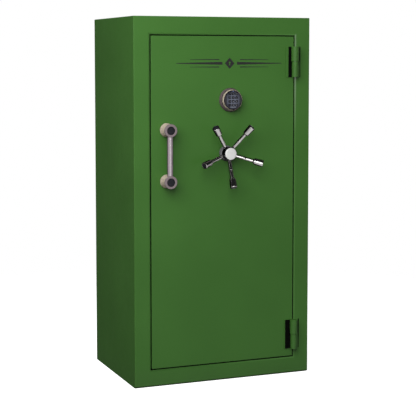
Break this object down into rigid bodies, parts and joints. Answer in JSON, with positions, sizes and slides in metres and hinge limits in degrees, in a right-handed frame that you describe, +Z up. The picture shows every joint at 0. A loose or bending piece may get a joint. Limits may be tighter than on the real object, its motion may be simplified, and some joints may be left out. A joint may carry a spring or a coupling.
{
  "type": "gun safe",
  "caption": "Upright steel gun safe with a hinged door, spoked bolt handle, round electronic keypad, pull handle, working boltwork and a shelved, carpeted inside.",
  "frame": {"origin": "centre of the steel body's footprint, on the floor", "axes": "+Z up, -Y out of the front face towards the user, +X to the right seen from the front (hinge side)"},
  "size_m": [0.775, 0.6261, 1.5],
  "materials": {
    "green_powder_coat": "satin green powder coat with a fine speckle",
    "chrome": "mirror chrome",
    "dark_chrome": "dark chrome",
    "satin_nickel": "satin nickel, slightly warm",
    "plain_steel": "turned steel",
    "zinc_plate": "zinc plated steel",
    "black_plastic": "gloss black",
    "key_plastic": "satin black",
    "grey_carpet": "short-pile carpet on board",
    "fireboard": "paper-faced gypsum fireboard",
    "seal_strip": "heat-expanding door seal"
  },
  "bodies": {
    "cabinet": {"outer_shell": "green_powder_coat", "front_frame": "green_powder_coat", "fireboard_lining": "fireboard", "interior_liner": "grey_carpet", "door_seal": "seal_strip", "upper_shelf": "grey_carpet", "side_shelf_upper": "grey_carpet", "side_shelf_lower": "grey_carpet", "divider_panel": "grey_carpet", "barrel_rest": "grey_carpet", "frame_knuckle_upper": "green_powder_coat", "frame_knuckle_lower": "green_powder_coat", "hinge_pin_upper": "plain_steel", "hinge_pin_lower": "plain_steel"},
    "door": {"door_plate": "green_powder_coat", "door_pan": "green_powder_coat", "door_fireboard": "fireboard", "inner_panel": "grey_carpet", "door_knuckle_upper": "green_powder_coat", "door_knuckle_lower": "green_powder_coat", "dead_bolts": "zinc_plate", "lock_case": "zinc_plate", "handle_escutcheon": "dark_chrome", "keypad_base": "satin_nickel", "keypad_face": "black_plastic", "pull_post_upper": "satin_nickel", "pull_post_lower": "satin_nickel", "pull_cap_upper": "black_plastic", "pull_cap_lower": "black_plastic", "pull_bar": "chrome"},
    "handle": {"handle_shaft": "plain_steel", "drive_pinion": "plain_steel", "handle_hub": "chrome", "hub_cap": "satin_nickel", "spoke_1": "chrome", "spoke_2": "chrome", "spoke_3": "chrome", "spoke_4": "chrome", "spoke_5": "chrome"},
    "side_bolts": {"side_bolt_bar": "zinc_plate", "side_bolt_1": "chrome", "side_bolt_2": "chrome", "side_bolt_3": "chrome", "side_bolt_4": "chrome"},
    "top_bolts": {"top_bolt_bar": "zinc_plate"},
    "bottom_bolts": {"bottom_bolt_bar": "zinc_plate"},
    "keypad_dial": {"keypad_ring": "satin_nickel"},
    "lock_bolt": {"lock_bolt": "plain_steel"},
    "key_1": {"key_1": "key_plastic"},
    "key_2": {"key_2": "key_plastic"},
    "key_3": {"key_3": "key_plastic"},
    "key_4": {"key_4": "key_plastic"},
    "key_5": {"key_5": "key_plastic"},
    "key_6": {"key_6": "key_plastic"},
    "key_7": {"key_7": "key_plastic"},
    "key_8": {"key_8": "key_plastic"},
    "key_9": {"key_9": "key_plastic"},
    "key_10": {"key_10": "key_plastic"},
    "key_11": {"key_11": "key_plastic"},
    "key_12": {"key_12": "key_plastic"}
  },
  "joints": [
    {"name": "door_swing", "type": "hinge", "parent": "cabinet", "child": "door", "pos_m": [0.3125, -0.2855, 0.75], "axis": [0, 0, 1], "range_deg": [0, 175]},
    {"name": "handle_turn", "type": "hinge", "parent": "door", "child": "handle", "pos_m": [0.011, -0.2675, 0.945], "axis": [0, -1, 0], "range_deg": [0, 90]},
    {"name": "side_bolts_slide", "type": "slide", "parent": "door", "child": "side_bolts", "axis": [-1, 0, 0], "range_m": [0, 0.0315]},
    {"name": "top_bolts_slide", "type": "slide", "parent": "door", "child": "top_bolts", "axis": [0, 0, 1], "range_m": [0, 0.0315]},
    {"name": "bottom_bolts_slide", "type": "slide", "parent": "door", "child": "bottom_bolts", "axis": [0, 0, -1], "range_m": [0, 0.0315]},
    {"name": "keypad_ring_turn", "type": "hinge", "parent": "door", "child": "keypad_dial", "pos_m": [0.027, -0.2675, 1.163], "axis": [0, -1, 0], "range_deg": [0, 90]},
    {"name": "lock_bolt_slide", "type": "slide", "parent": "door", "child": "lock_bolt", "axis": [0, 0, -1], "range_m": [0, 0.009]},
    {"name": "key_1_press", "type": "slide", "parent": "door", "child": "key_1", "axis": [0, 1, 0], "range_m": [0, 0.0012], "stiffness_N_per_m": 400},
    {"name": "key_2_press", "type": "slide", "parent": "door", "child": "key_2", "axis": [0, 1, 0], "range_m": [0, 0.0012], "stiffness_N_per_m": 400},
    {"name": "key_3_press", "type": "slide", "parent": "door", "child": "key_3", "axis": [0, 1, 0], "range_m": [0, 0.0012], "stiffness_N_per_m": 400},
    {"name": "key_4_press", "type": "slide", "parent": "door", "child": "key_4", "axis": [0, 1, 0], "range_m": [0, 0.0012], "stiffness_N_per_m": 400},
    {"name": "key_5_press", "type": "slide", "parent": "door", "child": "key_5", "axis": [0, 1, 0], "range_m": [0, 0.0012], "stiffness_N_per_m": 400},
    {"name": "key_6_press", "type": "slide", "parent": "door", "child": "key_6", "axis": [0, 1, 0], "range_m": [0, 0.0012], "stiffness_N_per_m": 400},
    {"name": "key_7_press", "type": "slide", "parent": "door", "child": "key_7", "axis": [0, 1, 0], "range_m": [0, 0.0012], "stiffness_N_per_m": 400},
    {"name": "key_8_press", "type": "slide", "parent": "door", "child": "key_8", "axis": [0, 1, 0], "range_m": [0, 0.0012], "stiffness_N_per_m": 400},
    {"name": "key_9_press", "type": "slide", "parent": "door", "child": "key_9", "axis": [0, 1, 0], "range_m": [0, 0.0012], "stiffness_N_per_m": 400},
    {"name": "key_10_press", "type": "slide", "parent": "door", "child": "key_10", "axis": [0, 1, 0], "range_m": [0, 0.0012], "stiffness_N_per_m": 400},
    {"name": "key_11_press", "type": "slide", "parent": "door", "child": "key_11", "axis": [0, 1, 0], "range_m": [0, 0.0012], "stiffness_N_per_m": 400},
    {"name": "key_12_press", "type": "slide", "parent": "door", "child": "key_12", "axis": [0, 1, 0], "range_m": [0, 0.0012], "stiffness_N_per_m": 400}
  ],
  "couplings": [
    {"joint": "side_bolts_slide", "follows": "handle_turn", "m_per_rad": 0.02},
    {"joint": "top_bolts_slide", "follows": "handle_turn", "m_per_rad": 0.02},
    {"joint": "bottom_bolts_slide", "follows": "handle_turn", "m_per_rad": 0.02},
    {"joint": "lock_bolt_slide", "follows": "keypad_ring_turn", "m_per_rad": 0.0057}
  ]
}
